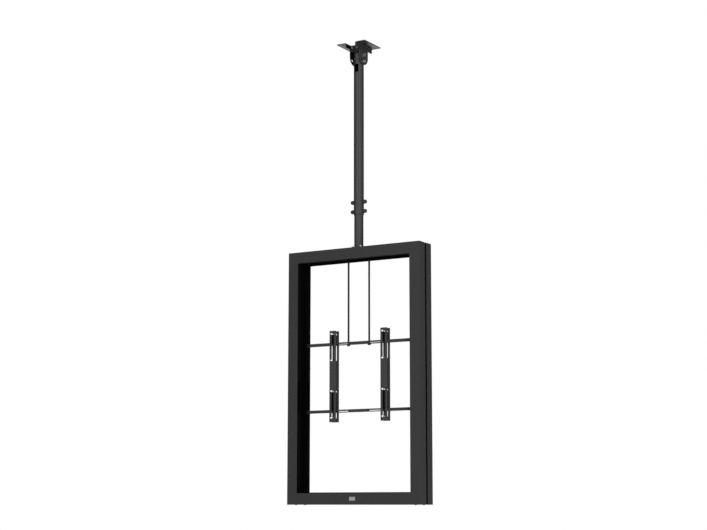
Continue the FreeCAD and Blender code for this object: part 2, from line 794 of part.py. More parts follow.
def rail_set(side, place):
    """One pair of rails, front and rear, with hook plates and through bolts, moved to its place on the bars."""
    front = display_rail()
    hooks = [hook_plate(upper_bar_z, upper_hook_height), hook_plate(lower_bar_z, lower_hook_height)]
    hooks += [mirror_y(one) for one in hooks]
    length = 2 * hook_outer + nut_height_ratio * rail_bolt_radius + rail_bolt_tail
    levels = [z - rail_bolt_drop for z in (upper_bar_z, lower_bar_z)]
    pieces = {
        "front_rail": front,
        "rear_rail": mirror_y(front),
        "clamp_plates": group(hooks),
        "rail_bolts": group([bolt(rail_bolt_radius, (0, -hook_outer, z), -Y_AXIS, length) for z in levels]),
        "rail_nuts": group([nut(rail_bolt_radius, (0, hook_outer, z), Y_AXIS) for z in levels]),
    }
    for shape in pieces.values():
        shape.translate(X_AXIS * place)
    return {side + "_" + name: shape for name, shape in pieces.items()}


def display_rails():
    """Rails at the left and at the right."""
    rails = rail_set("left", -left_rail_place)
    rails.update(rail_set("right", right_rail_place))
    return rails


def main():
    """Build every piece and write one file for each."""
    os.makedirs("parts", exist_ok=True)
    pieces = {}
    groups = [ceiling_head(), mast(), mast_foot(), casings(), carrying_frame(), bars_and_rods(),
              display_rails()]
    for made in groups:
        pieces.update(made)
    for name, shape in pieces.items():
        shape.exportStep("parts/" + name + ".step")
    print(len(pieces), "pieces written")


main()
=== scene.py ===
# %% [markdown]
# Display ceiling mount
#
# A tube hangs from a folded bracket under the ceiling and carries a deep black casing, open front and
# back, with slotted rails for two displays. The solids come from the construction model, already in place
# and in metres. This lesson dresses them: a camera and light, finishes, and fasteners with real detail.

# %% Load the frame
import bpy
import math
import bmesh
from mathutils import Matrix, Vector


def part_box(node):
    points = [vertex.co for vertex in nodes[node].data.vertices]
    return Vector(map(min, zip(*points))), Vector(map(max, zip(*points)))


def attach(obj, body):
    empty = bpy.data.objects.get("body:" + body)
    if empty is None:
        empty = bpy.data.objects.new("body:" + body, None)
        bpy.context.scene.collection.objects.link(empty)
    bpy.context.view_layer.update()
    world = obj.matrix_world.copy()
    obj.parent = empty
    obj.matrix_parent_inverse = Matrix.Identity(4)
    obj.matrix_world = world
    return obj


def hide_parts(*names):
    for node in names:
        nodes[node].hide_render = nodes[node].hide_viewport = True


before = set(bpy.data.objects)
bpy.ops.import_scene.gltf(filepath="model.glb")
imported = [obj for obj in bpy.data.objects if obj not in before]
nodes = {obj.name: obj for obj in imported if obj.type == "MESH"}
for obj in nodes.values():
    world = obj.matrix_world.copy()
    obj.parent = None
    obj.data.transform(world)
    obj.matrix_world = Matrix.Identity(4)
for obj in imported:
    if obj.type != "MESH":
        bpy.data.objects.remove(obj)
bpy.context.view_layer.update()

# %% [markdown]
# Camera
#
# The view is from the right, level with the foot of the casing and looking up, so the top of the casing
# leans back and the underside of the ceiling wings shows. A long lens far away could be guessed by eye,
# but here the casing's corners were solved for one camera, and the numbers below are that solution.


# %% Camera
def add_object(name, data):
    """A new object in the scene."""
    made = bpy.data.objects.new(name, data)
    bpy.context.scene.collection.objects.link(made)
    return made


def facing(direction):
    """The rotation with which a camera or a light looks along a direction."""
    return direction.to_track_quat("-Z", "Y").to_euler()


swing = math.radians(30.76)
tilt_up = math.radians(8.92)
level = math.cos(tilt_up)
looking = Vector((-math.sin(swing) * level, math.cos(swing) * level, math.sin(tilt_up)))
camera_data = bpy.data.cameras.new("view")
camera_data.sensor_width = 36.0
camera_data.lens = 77.67
camera_data.shift_x = -0.00706
camera_data.clip_end = 200.0
camera = add_object("view", camera_data)
camera.location = (4.0662, -6.8356, -2.4442)
camera.rotation_euler = facing(looking)
bpy.context.scene.camera = camera
bpy.context.scene.view_settings.view_transform = "Standard"
print("camera at", tuple(round(v, 3) for v in camera.location))

# %% [markdown]
# Node trees
#
# A backdrop, a finish and a mask are each a tree of nodes. A tree can be drawn by hand in the shader
# editor, or added and linked one line at a time. Here one helper adds a node with its settings and its
# inputs. An input is a value or the socket that feeds it, so a tree reads like a short formula.


# %% Helpers for nodes
def set_inputs(made, inputs):
    """Give inputs of a node their values, or the sockets that feed them."""
    for name, value in inputs.items():
        if isinstance(value, bpy.types.NodeSocket):
            made.id_data.links.new(value, made.inputs[name])
        else:
            made.inputs[name].default_value = value


def add_node(tree, kind, inputs=None, **settings):
    """A node with its settings and inputs."""
    made = tree.nodes.new(kind)
    for name, value in settings.items():
        setattr(made, name, value)
    set_inputs(made, inputs or {})
    return made


def maths(tree, operation, *values):
    """The result of a sum on numbers or on the sockets that give them."""
    return add_node(tree, "ShaderNodeMath", dict(enumerate(values)), operation=operation).outputs[0]


def vectors(tree, operation, *values):
    """A sum on vectors. Its outputs are called Vector and Value."""
    return add_node(tree, "ShaderNodeVectorMath", dict(enumerate(values)), operation=operation).outputs


print("node helpers ready")

# %% [markdown]
# Light and backdrop
#
# Satin black shows its shape by soft, broad light. A bare lamp would leave hard spots on the tube, so the
# key is a large panel near the camera, with a weak fill from the left and two panels for the back and the
# far side. The paint mirrors the white room and the fill, and not the strong panels, which would draw
# thin streaks on the tube. The world is plain white to the camera and to reflections, and dimmer as a
# source of light, which keeps the inside of the casing dark.

# %% World
white = (1.0, 1.0, 1.0, 1.0)
full_strength = 1.0
ambient_strength = 0.22


def seen_directly(tree):
    """One for rays from the camera, a mirror or a clear body, and zero for rays that gather light."""
    ray = add_node(tree, "ShaderNodeLightPath").outputs
    seen = maths(tree, "MAXIMUM", ray["Is Camera Ray"], ray["Is Glossy Ray"])
    return maths(tree, "MAXIMUM", seen, ray["Is Transmission Ray"])


world = bpy.data.worlds.new("studio")
bpy.context.scene.world = world
world.use_nodes = True
tree = world.node_tree
tree.nodes.clear()
ambient = add_node(tree, "ShaderNodeBackground", {"Color": white, "Strength": ambient_strength})
backdrop = add_node(tree, "ShaderNodeBackground", {"Color": white, "Strength": full_strength})
mixed = add_node(tree, "ShaderNodeMixShader",
                 {"Fac": seen_directly(tree), 1: ambient.outputs[0], 2: backdrop.outputs[0]})
add_node(tree, "ShaderNodeOutputWorld", {"Surface": mixed.outputs[0]})
print("world lights at", ambient_strength)

# %% Panels of light
panel_aim = Vector((0.0, 0.0, -1.4))
panel_size = 3.0


def light_panel(name, place, power):
    """A square panel of light that faces the aim point."""
    data = bpy.data.lights.new(name, "AREA")
    data.size = panel_size
    data.energy = power
    panel = add_object(name, data)
    panel.location = place
    panel.rotation_euler = facing(panel_aim - Vector(place))
    return panel


key = light_panel("key", (4.9, -5.2, 1.2), power=390.0)
fill = light_panel("fill", (-4.5, -5.0, -0.6), power=30.0)
back = light_panel("back", (1.5, 5.5, 0.8), power=160.0)
side = light_panel("side", (-5.2, 3.4, 0.6), power=130.0)
for panel in (key, back, side):
    panel.visible_glossy = False
print("panels:", key.name, fill.name, back.name, side.name)

# %% [markdown]
# Dark cards
#
# A white room makes pale rims on black paint, because every surface mirrors more at a slant. In a studio
# two black cards stand on either side, from behind the object nearly round to the camera, and the paint
# mirrors them instead. The tube then has a pale stripe and dark edges. Only reflections can see the
# cards, so they throw no shadow.

# %% Card finish
card_tone = (0.01, 0.01, 0.01, 1.0)


def new_finish(name):
    """A material, and the Principled shader that it starts with."""
    finish = bpy.data.materials.new(name)
    finish.use_nodes = True
    return finish, finish.node_tree.nodes["Principled BSDF"]


card_finish, card_shader = new_finish("card_black")
set_inputs(card_shader, {"Base Color": card_tone, "Specular IOR Level": 0.0})
print("card finish:", card_finish.name)

# %% Dark cards
card_distance = 6.0
card_foot = -2.9
card_top = 6.0
card_steps = 20
card_gap = 10.0
right_reach = 124.0
left_reach = 114.0
view_heading = 90.0 + math.degrees(swing)


def dark_card(name, first_heading, last_heading):
    """A curved upright card between two headings, seen by reflections only."""
    points = []
    for k in range(card_steps + 1):
        heading = math.radians(first_heading + (last_heading - first_heading) * k / card_steps)
        x = card_distance * math.cos(heading)
        y = card_distance * math.sin(heading)
        points += [(x, y, card_foot), (x, y, card_top)]
    faces = [(2 * k, 2 * k + 2, 2 * k + 3, 2 * k + 1) for k in range(card_steps)]
    data = bpy.data.meshes.new(name)
    data.from_pydata(points, [], faces)
    data.materials.append(card_finish)
    card = add_object(name, data)
    card.visible_camera = False
    card.visible_diffuse = False
    card.visible_transmission = False
    card.visible_shadow = False
    return card


right_card = dark_card("right_card", view_heading - card_gap, view_heading - right_reach)
left_card = dark_card("left_card", view_heading + card_gap, view_heading + left_reach)
print("cards:", right_card.name, left_card.name)

# %% [markdown]
# Floor
#
# The floor lies well below the casing, so the mount hangs clear of it. Near the mount it is a pale matt
# surface that takes a soft shadow. A plain floor would end in a horizon line, so far out this one melts
# into the white backdrop.

# %% Floor
floor_level = -2.95
floor_reach = 40.0
floor_mesh = bpy.data.meshes.new("floor")
corners = [(-floor_reach, -floor_reach, floor_level), (floor_reach, -floor_reach, floor_level),
           (floor_reach, floor_reach, floor_level), (-floor_reach, floor_reach, floor_level)]
floor_mesh.from_pydata(corners, [], [(0, 1, 2, 3)])
floor = add_object("floor", floor_mesh)
print("floor at", floor_level)

# %% Floor finish
floor_grey = (0.82, 0.82, 0.82, 1.0)
fade_start = 3.2
fade_end = 7.0
floor_finish = new_finish("pale_floor")[0]
tree = floor_finish.node_tree
tree.nodes.clear()
where = add_node(tree, "ShaderNodeNewGeometry").outputs["Position"]
fade = add_node(tree, "ShaderNodeMapRange", {"Value": vectors(tree, "LENGTH", where)["Value"],
                                             "From Min": fade_start, "From Max": fade_end})
share = maths(tree, "MULTIPLY", fade.outputs["Result"], seen_directly(tree))
matt = add_node(tree, "ShaderNodeBsdfDiffuse", {"Color": floor_grey})
glow = add_node(tree, "ShaderNodeEmission", {"Color": white, "Strength": full_strength})
blend = add_node(tree, "ShaderNodeMixShader", {"Fac": share, 1: matt.outputs[0], 2: glow.outputs[0]})
add_node(tree, "ShaderNodeOutputMaterial", {"Surface": blend.outputs[0]})
floor_mesh.materials.append(floor_finish)
print("floor fades from", fade_start, "to", fade_end)

# %% [markdown]
# Powder coat, as a shared effect
#
# Powder coat is sprayed as dry dust and baked. It flows into a fine dimpled skin, lighter along edges:
# partly a thin film there, partly a painted highlight. A bitmap could hold that, but noise at true scale
# works on any piece. The group gives a colour, a roughness, a height and a rounded edge, and each paint
# sets its own values.

# %% Helpers for shared effects
number = "NodeSocketFloat"
colour = "NodeSocketColor"
vector = "NodeSocketVector"


def effect_group(name, inputs, outputs):
    """A node group with named sockets, and the sockets that bring its inputs."""
    group = bpy.data.node_groups.new(name, "ShaderNodeTree")
    for title, kind in inputs.items():
        group.interface.new_socket(name=title, in_out="INPUT", socket_type=kind)
    for title, kind in outputs.items():
        group.interface.new_socket(name=title, in_out="OUTPUT", socket_type=kind)
    return group, add_node(group, "NodeGroupInput").outputs


def noise(group, place, per_metre, detail):
    """Noise with so many features to a metre."""
    sockets = {"Vector": place, "Scale": per_metre, "Detail": detail}
    return add_node(group, "ShaderNodeTexNoise", sockets).outputs["Fac"]


def variation(group, first, second, amount):
    """Two noises together, centred on zero and scaled."""
    centred = maths(group, "SUBTRACT", maths(group, "ADD", first, second), 1.0)
    return maths(group, "MULTIPLY", centred, amount)


def scaled(tree, tone, factor):
    """A colour times a factor."""
    made = add_node(tree, "ShaderNodeVectorMath", {0: tone, "Scale": factor}, operation="SCALE")
    return made.outputs["Vector"]


print("socket kinds:", number, colour, vector)

# %% Powder coat group
clouds_per_metre = 9.0
specks_per_metre = 260.0
edge_radius = 0.0012
edge_full = 0.72
paint_rough_swing = 0.5
coat, coat_in = effect_group(
    "powder_coat",
    {"Base": colour, "Dimples per metre": number, "Cloud": number, "Edge tone and sheen": number, "Dullness": number},
    {"Colour": colour, "Roughness": number, "Height": number, "Soft edge": vector})
place = add_node(coat, "ShaderNodeTexCoord").outputs["Object"]
dimples = noise(coat, place, coat_in["Dimples per metre"], detail=2.0)
clouds = noise(coat, place, clouds_per_metre, detail=5.0)
specks = noise(coat, place, specks_per_metre, detail=3.0)
uneven = variation(coat, clouds, specks, coat_in["Cloud"])
rounded = add_node(coat, "ShaderNodeBevel", {"Radius": edge_radius}, samples=4).outputs["Normal"]
normal = add_node(coat, "ShaderNodeNewGeometry").outputs["Normal"]
alike = vectors(coat, "DOT_PRODUCT", rounded, normal)["Value"]
edge = add_node(coat, "ShaderNodeMapRange", {"Value": alike, "From Min": 1.0, "From Max": edge_full})
# Lighter along edges: partly a thinner film, partly a painted highlight.
thin_film_and_sheen = maths(coat, "MULTIPLY", edge.outputs["Result"], coat_in["Edge tone and sheen"])
gain = maths(coat, "ADD", maths(coat, "ADD", uneven, thin_film_and_sheen), 1.0)
rough = maths(coat, "MULTIPLY_ADD", uneven, paint_rough_swing, coat_in["Dullness"])
add_node(coat, "NodeGroupOutput", {"Colour": scaled(coat, coat_in["Base"], gain), "Roughness": rough,
                                   "Height": dimples, "Soft edge": rounded})
print("group:", coat.name)

# %% [markdown]
# Plated metal, as a shared effect
#
# Zinc plating on bolts is grey, slightly mottled and streaked by turning and handling. Clean chrome would
# look too bright here. The group mixes a stretched noise for streaks with a coarse one for the mottle.

# %% Plated metal group
streak_stretch = (0.12, 1.0, 1.0)
mottles_per_metre = 140.0
metal_rough_swing = 0.6
plated, plated_in = effect_group(
    "plated_metal",
    {"Base": colour, "Mottle": number, "Streaks per metre": number, "Dullness": number},
    {"Colour": colour, "Roughness": number, "Height": number})
place = add_node(plated, "ShaderNodeTexCoord").outputs["Object"]
stretched = add_node(plated, "ShaderNodeMapping", {"Vector": place, "Scale": streak_stretch})
streaks = noise(plated, stretched.outputs["Vector"], plated_in["Streaks per metre"], detail=3.0)
mottle = noise(plated, place, mottles_per_metre, detail=4.0)
uneven = variation(plated, streaks, mottle, plated_in["Mottle"])
gain = maths(plated, "ADD", uneven, 1.0)
rough = maths(plated, "MULTIPLY_ADD", uneven, metal_rough_swing, plated_in["Dullness"])
add_node(plated, "NodeGroupOutput", {"Colour": scaled(plated, plated_in["Base"], gain), "Roughness": rough,
                                     "Height": streaks})
print("group:", plated.name)

# %% [markdown]
# Paints
#
# Nearly all of the mount is black, but no two kinds of piece are the same black. Each paint could have
# its own tree of nodes. Here each is one Principled shader fed by the powder coat group with its own
# values, because folded sheet, drawn tube and punched strip take the powder differently.

# %% A powder-coated finish
paint_relief = 0.25


def painted(name, base, dullness, dimples, cloud, edge_tone_and_sheen, specular, depth):
    """A powder-coated finish."""
    finish, shader = new_finish(name)
    tree = finish.node_tree
    skin = add_node(tree, "ShaderNodeGroup", node_tree=coat)
    set_inputs(skin, {"Base": (*base, 1.0), "Dimples per metre": dimples, "Cloud": cloud,
                      "Edge tone and sheen": edge_tone_and_sheen, "Dullness": dullness})
    relief = add_node(tree, "ShaderNodeBump", {"Strength": paint_relief, "Distance": depth,
                                               "Height": skin.outputs["Height"],
                                               "Normal": skin.outputs["Soft edge"]})
    set_inputs(shader, {"Base Color": skin.outputs["Colour"], "Roughness": skin.outputs["Roughness"],
                        "Specular IOR Level": specular, "Normal": relief.outputs["Normal"]})
    return finish


print("relief of the paints:", paint_relief)

# %% Paints
casing_coat = painted("casing_coat", (0.042, 0.042, 0.043), dullness=0.55, dimples=700.0, cloud=0.10,
                      edge_tone_and_sheen=0.45, specular=0.12, depth=0.0002)
upper_tube_coat, lower_tube_coat = [
    painted(name, (0.038, 0.038, 0.039), dullness=0.38, dimples=900.0, cloud=0.10,
            edge_tone_and_sheen=0.30, specular=0.50, depth=0.00015)
    for name in ("upper_tube_coat", "lower_tube_coat")]
bracket_coat = painted("bracket_coat", (0.038, 0.038, 0.039), dullness=0.30, dimples=800.0, cloud=0.14,
                       edge_tone_and_sheen=0.40, specular=0.36, depth=0.0001)
tie_coat = painted("tie_coat", (0.024, 0.024, 0.025), dullness=0.55, dimples=800.0, cloud=0.14,
                   edge_tone_and_sheen=0.40, specular=0.05, depth=0.0001)
rail_coat = painted("rail_coat", (0.048, 0.048, 0.049), dullness=0.50, dimples=800.0, cloud=0.14,
                    edge_tone_and_sheen=0.50, specular=0.20, depth=0.0002)
bar_coat = painted("bar_coat", (0.042, 0.042, 0.043), dullness=0.50, dimples=800.0, cloud=0.14,
                   edge_tone_and_sheen=0.50, specular=0.20, depth=0.0002)
hook_coat = painted("hook_coat", (0.036, 0.036, 0.037), dullness=0.55, dimples=800.0, cloud=0.14,
                    edge_tone_and_sheen=0.40, specular=0.15, depth=0.0002)
# Painted shade: the core, seen only through gaps in the casing, is nearly black and without sheen.
core_shade_coat = painted("core_shade_coat", (0.002, 0.002, 0.002), dullness=0.80, dimples=500.0, cloud=0.20,
                    edge_tone_and_sheen=0.40, specular=0.0, depth=0.0003)
blackened = painted("blackened_steel", (0.016, 0.016, 0.017), dullness=0.38, dimples=1500.0, cloud=0.25,
                    edge_tone_and_sheen=0.80, specular=0.40, depth=0.0001)
cap_moulding = painted("cap_moulding", (0.014, 0.014, 0.015), dullness=0.28, dimples=1500.0, cloud=0.15,
                       edge_tone_and_sheen=0.30, specular=0.60, depth=0.0001)
rod_coat = painted("rod_coat", (0.020, 0.020, 0.021), dullness=0.45, dimples=1200.0, cloud=0.15,
                   edge_tone_and_sheen=0.10, specular=0.25, depth=0.0001)
print("materials so far:", len(bpy.data.materials))

# %% [markdown]
# Metals
#
# The bolts at the head and the foot are zinc plated, and the badge is brushed metal. The heads that catch
# the light get a brighter copy of the zinc, a painted highlight. One shader could serve them all, but their
# tone differs, so each has its own values. Plating keeps some of the dullness of its oxide, so it isn't
# fully metallic.

# %% Metals
metal_relief = 0.15
metal_depth = 0.0001
plated_share = 0.9


def metal(name, base, dullness, mottle, streaks):
    """A plated or bare metal finish."""
    finish, shader = new_finish(name)
    tree = finish.node_tree
    skin = add_node(tree, "ShaderNodeGroup", node_tree=plated)
    set_inputs(skin, {"Base": (*base, 1.0), "Mottle": mottle, "Streaks per metre": streaks,
                      "Dullness": dullness})
    relief = add_node(tree, "ShaderNodeBump", {"Strength": metal_relief, "Distance": metal_depth,
                                               "Height": skin.outputs["Height"]})
    set_inputs(shader, {"Base Color": skin.outputs["Colour"], "Roughness": skin.outputs["Roughness"],
                        "Metallic": plated_share, "Normal": relief.outputs["Normal"]})
    return finish


zinc = metal("zinc_plate", (0.22, 0.22, 0.225), dullness=0.38, mottle=0.45, streaks=600.0)
# Painted highlight: the same zinc with a lighter base, for heads that catch the light.
highlit_zinc = metal("highlit_zinc", (0.70, 0.70, 0.71), dullness=0.30, mottle=0.25, streaks=600.0)
badge_metal = metal("badge_metal", (0.40, 0.40, 0.405), dullness=0.40, mottle=0.35, streaks=900.0)
print("materials, with cards and floor:", len(bpy.data.materials))

# %% [markdown]
# Painted shade inside
#
# All of the casing that isn't its outer skin sits in deep shade, which the lamps here don't give, so the
# shade is
# painted: there the paint changes to dull, nearly black metal. A second material would need its own faces,
# so one material with a mask does it. The mask is a block, worked out from the casing's own size. The head
# gets the same painted shade, inside its fork and against the ceiling, and so do the tubes, inside their
# walls, with a round mask.

# %% Mask of a block
block_group, block_in = effect_group("within_block", {"Middle": vector, "Half size": vector},
                                     {"Mask": number})
place = add_node(block_group, "ShaderNodeTexCoord").outputs["Object"]
from_middle = vectors(block_group, "SUBTRACT", place, block_in["Middle"])["Vector"]
reach_out = vectors(block_group, "ABSOLUTE", from_middle)["Vector"]
room_left = vectors(block_group, "SUBTRACT", block_in["Half size"], reach_out)["Vector"]
ways = add_node(block_group, "ShaderNodeSeparateXYZ", {0: room_left}).outputs
least = maths(block_group, "MINIMUM", maths(block_group, "MINIMUM", ways["X"], ways["Y"]), ways["Z"])
within = maths(block_group, "GREATER_THAN", least, 0.0)
add_node(block_group, "NodeGroupOutput", {"Mask": within})
print("group:", block_group.name)

# %% Mask of a round bar
round_group, round_in = effect_group("within_round", {"Radius": number}, {"Mask": number})
place = add_node(round_group, "ShaderNodeTexCoord").outputs["Object"]
flat_place = vectors(round_group, "MULTIPLY", place, (1.0, 1.0, 0.0))["Vector"]
from_axis = vectors(round_group, "LENGTH", flat_place)["Value"]
within = maths(round_group, "LESS_THAN", from_axis, round_in["Radius"])
add_node(round_group, "NodeGroupOutput", {"Mask": within})
print("group:", round_group.name)

# %% Mask on the paints
dull_roughness = 0.9


def paint_shade(finish, mask, share):
    """Paint shade: darken a paint to dull, dark metal where a mask says so, keeping a share of its tone."""
    tree = finish.node_tree
    shader = tree.nodes["Principled BSDF"]
    skin_tone = shader.inputs["Base Color"].links[0].from_socket
    skin_rough = shader.inputs["Roughness"].links[0].from_socket
    tone = add_node(tree, "ShaderNodeMapRange", {"Value": mask, "To Min": 1.0, "To Max": share})
    dull = add_node(tree, "ShaderNodeMapRange", {"Value": mask, "To Min": skin_rough,
                                                 "To Max": dull_roughness})
    set_inputs(shader, {"Base Color": scaled(tree, skin_tone, tone.outputs["Result"]),
                        "Roughness": dull.outputs["Result"], "Metallic": mask})


def block_mask(finish, middle, half_size):
    """The mask of a block, placed in a paint."""
    mask = add_node(finish.node_tree, "ShaderNodeGroup", {"Middle": middle, "Half size": half_size},
                    node_tree=block_group)
    return mask.outputs["Mask"]


print("masked paint has roughness", dull_roughness)

# %% Painted shade inside the casing
skin_depth = 0.0008
casing_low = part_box("front_casing")[0]
casing_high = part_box("rear_casing")[1]
casing_centre = (casing_low + casing_high) / 2
casing_half = (casing_high - casing_low) / 2
below_skin = casing_half - Vector((skin_depth, skin_depth, skin_depth))
# Painted shade: inside the skin, the casing is darkened to 30 % of its tone.
paint_shade(casing_coat, block_mask(casing_coat, casing_centre, below_skin), share=0.30)
print("casing half size:", tuple(round(v, 4) for v in casing_half))

# %% Painted shade inside the head
ear_reach = 0.0009
past_head = 1.0
fork_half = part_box("upper_tube")[1].x + ear_reach
ceiling_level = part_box("bracket_left")[1].z
in_fork = block_mask(bracket_coat, (0.0, 0.0, 0.0), (fork_half, past_head, past_head))
on_ceiling = block_mask(bracket_coat, (0.0, 0.0, ceiling_level), (past_head, past_head, skin_depth))
# Painted shade: inside the fork and on the face against the ceiling, the head is darkened.
paint_shade(bracket_coat, maths(bracket_coat.node_tree, "MAXIMUM", in_fork, on_ceiling), share=0.25)
print("fork half width:", round(fork_half, 4))

# %% Painted shade inside the tubes
# Painted shade: inside its wall, each tube is darkened to a tenth of its tone.
for finish, tube in ((upper_tube_coat, "upper_tube"), (lower_tube_coat, "lower_tube")):
    within_wall = add_node(finish.node_tree, "ShaderNodeGroup", node_tree=round_group)
    within_wall.inputs["Radius"].default_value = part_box(tube)[1].y - skin_depth
    paint_shade(finish, within_wall.outputs["Mask"], share=0.10)
    print(tube, "black within", round(within_wall.inputs["Radius"].default_value, 4))

# %% [markdown]
# Painted shade on the bar ends and hook plates
#
# The ends of the cross bars stand in the casing's shadow, so painted shade darkens them. Two paints would
# leave a hard line, so the bars have one paint that fades with the distance from the middle. The front hook
# plates lie in the shade behind their strips, so they get painted shade too, and the rear ones are painted
# like the rails; a second mask tells the front from the rear.

# %% Masks by place
place_masks, place_in = effect_group("place_masks", {"Fade from": number, "Fade to": number},
                                     {"End shade": number, "Front shade": number})
place = add_node(place_masks, "ShaderNodeTexCoord").outputs["Object"]
ways = add_node(place_masks, "ShaderNodeSeparateXYZ", {0: place}).outputs
end_shade = add_node(place_masks, "ShaderNodeMapRange", {"Value": maths(place_masks, "ABSOLUTE", ways["X"]),
                                                     "From Min": place_in["Fade from"],
                                                     "From Max": place_in["Fade to"]},
                 interpolation_type="SMOOTHSTEP")
add_node(place_masks, "NodeGroupOutput", {"End shade": end_shade.outputs["Result"],
                                          "Front shade": maths(place_masks, "LESS_THAN", ways["Y"], 0.0)})
print("group:", place_masks.name)

# %% Painted shade on the bar ends and front hooks
bar_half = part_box("upper_bar")[1].x
end_shade_reach = 0.058
bar_end_shade_share = 0.10
hook_shade_share = 0.35
# Painted shade: the bar ends fade to dark and the front hook plates are darkened.
for finish, mask, share in ((bar_coat, "End shade", bar_end_shade_share), (hook_coat, "Front shade", hook_shade_share)):
    masks = add_node(finish.node_tree, "ShaderNodeGroup",
                     {"Fade from": bar_half - end_shade_reach, "Fade to": bar_half}, node_tree=place_masks)
    paint_shade(finish, masks.outputs[mask], share)
print("bar paint fades from", round(bar_half - end_shade_reach, 3))

# %% [markdown]
# A finish for every piece
#
# Each node of the construction model takes one finish. They could be given one by one in the properties
# editor, but a list of names under each finish is easy to check, and the count at the end shows that none
# is left out.

# %% Finish for every node
finish_of = {
    casing_coat: ["front_casing", "rear_casing", "base_flange"],
    upper_tube_coat: ["upper_tube"],
    lower_tube_coat: ["lower_tube"],
    bracket_coat: ["bracket_left", "bracket_right"],
    tie_coat: ["tie_plates"],
    rail_coat: ["left_front_rail", "left_rear_rail", "right_front_rail", "right_rear_rail"],
    bar_coat: ["upper_bar", "lower_bar"],
    hook_coat: ["left_clamp_plates", "right_clamp_plates"],
    core_shade_coat: ["left_upright", "right_upright", "top_beam", "bottom_beam", "packing_plate", "bar_plugs",
                "casing_brackets"],
    cap_moulding: ["clamp_caps"],
    blackened: ["clamp_bolts", "clamp_washers", "casing_screws", "bar_bolts", "rod_bar_washers",
                "rod_bar_nuts", "left_rail_bolts", "left_rail_nuts", "right_rail_bolts", "right_rail_nuts"],
    zinc: ["tie_bolts", "tie_nuts", "pivot_bolt", "pivot_washers", "pivot_nut", "lock_bolt", "lock_washers",
           "lock_nut", "base_nuts", "rod_top_nuts"],
    highlit_zinc: ["base_bolts", "base_washers"],
    rod_coat: ["hanger_rods"],
    badge_metal: ["badge_plate"],
}
for finish, names in finish_of.items():
    for name in names:
        mesh = nodes[name].data
        mesh.materials.clear()
        mesh.materials.append(finish)
print("dressed:", sum(len(names) for names in finish_of.values()), "of", len(nodes))

# %% [markdown]
# Fasteners
#
# The construction model has plain bolts: a prism for a head and a smooth bar for a thread. Real heads are
# turned on top, so the six corners are cut by a cone, and the free end carries a thread. Both could be
# faked with bump, but their outline shows, so they are built as meshes on the places of the plain ones.
# First come the helpers: one finds the separate solids in a node, and the others make closed rings and
# caps round an axis.

# %% Find the solids in a node
same_point = 1e-6


def solids_of(name):
    """Lowest and highest corner of each separate solid in a node."""
    work = bmesh.new()
    work.from_mesh(nodes[name].data)
    bmesh.ops.remove_doubles(work, verts=work.verts, dist=same_point)
    waiting = set(work.verts)
    boxes = []
    while waiting:
        reached = [waiting.pop()]
        found = []
        while reached:
            vert = reached.pop()
            found.append(vert.co.copy())
            for link in vert.link_edges:
                other = link.other_vert(vert)
                if other in waiting:
                    waiting.remove(other)
                    reached.append(other)
        low = Vector([min(co[k] for co in found) for k in range(3)])
        high = Vector([max(co[k] for co in found) for k in range(3)])
        boxes.append((low, high))
    work.free()
    return sorted(boxes, key=lambda pair: tuple(pair[0]))


print("tie bolts found:", len(solids_of("tie_bolts")))


# %% Rings round an axis
def add_rings(mesh, rings, hollow=False):
    """Join rings of equal length into a wall. Its ends get caps, or meet each other in a hollow form."""
    rows = [[mesh.verts.new(point) for point in ring] for ring in rings]
    walls = list(zip(rows, rows[1:]))
    if hollow:
        walls.append((rows[-1], rows[0]))
    count = len(rows[0])
    for lower, upper in walls:
        for k in range(count):
            after = (k + 1) % count
            mesh.faces.new((lower[k], lower[after], upper[after], upper[k]))
    if not hollow:
        mesh.faces.new(list(reversed(rows[0])))
        mesh.faces.new(rows[-1])


def ring_point(reach, k, count, height):
    """One point of a ring, by its number."""
    angle = 2 * math.pi * k / count
    return (reach * math.cos(angle), reach * math.sin(angle), height)


def circle(radius, height, count):
    """A round ring."""
    return [ring_point(radius, k, count, height) for k in range(count)]


print("points in a ring of 24:", len(circle(1.0, 0.0, 24)))

# %% Six-sided rings
chamfer_slope = math.tan(math.radians(30))


def hex_reach(angle, across_flats):
    """Distance from the axis to the side of a hexagon with corners on the first axis."""
    step = math.pi / 3
    return across_flats / 2 / math.cos((angle % step) - step / 2)


def hex_ring(across_flats, height, count, cone_radius=None):
    """A six-sided ring; with a cone it dips towards the corners, as a turned chamfer does."""
    ring = []
    for k in range(count):
        reach = hex_reach(2 * math.pi * k / count, across_flats)
        drop = chamfer_slope * max(0.0, reach - cone_radius) if cone_radius else 0.0
        ring.append(ring_point(reach, k, count, height - drop))
    return ring


print("hexagon corner reach for 13 mm flats:", round(hex_reach(0.0, 13.0), 3))

# %% [markdown]
# Heads, nuts and threads
#
# A head and a nut differ only in the hole, so both start from the same six-sided wall. A thread could be
# a row of separate rings, but a real one is one surface that climbs as it turns. So crest and root rings
# alternate, and each ring rises by one pitch in a turn.

# %% Hexagon head and nut
hex_count = 48
cone_share = 0.475
washer_face = [(0.46, 0.0), (0.47, 0.04)]
prism_foot = 0.05
top_dish = [(0.36, 1.0), (0.33, 0.94)]
sink_share = 0.12


def turned(outline, flats, height):
    """Round rings, from shares of a head's width and height."""
    return [circle(r * flats, z * height, hex_count) for r, z in outline]


def add_hex_head(mesh, flats, height):
    """A head with a turned top and a shallow dish in it."""
    cone = cone_share * flats
    prism = [hex_ring(flats, prism_foot * height, hex_count), hex_ring(flats, height, hex_count, cone),
             circle(cone, height, hex_count)]
    add_rings(mesh, turned(washer_face, flats, height) + prism + turned(top_dish, flats, height))


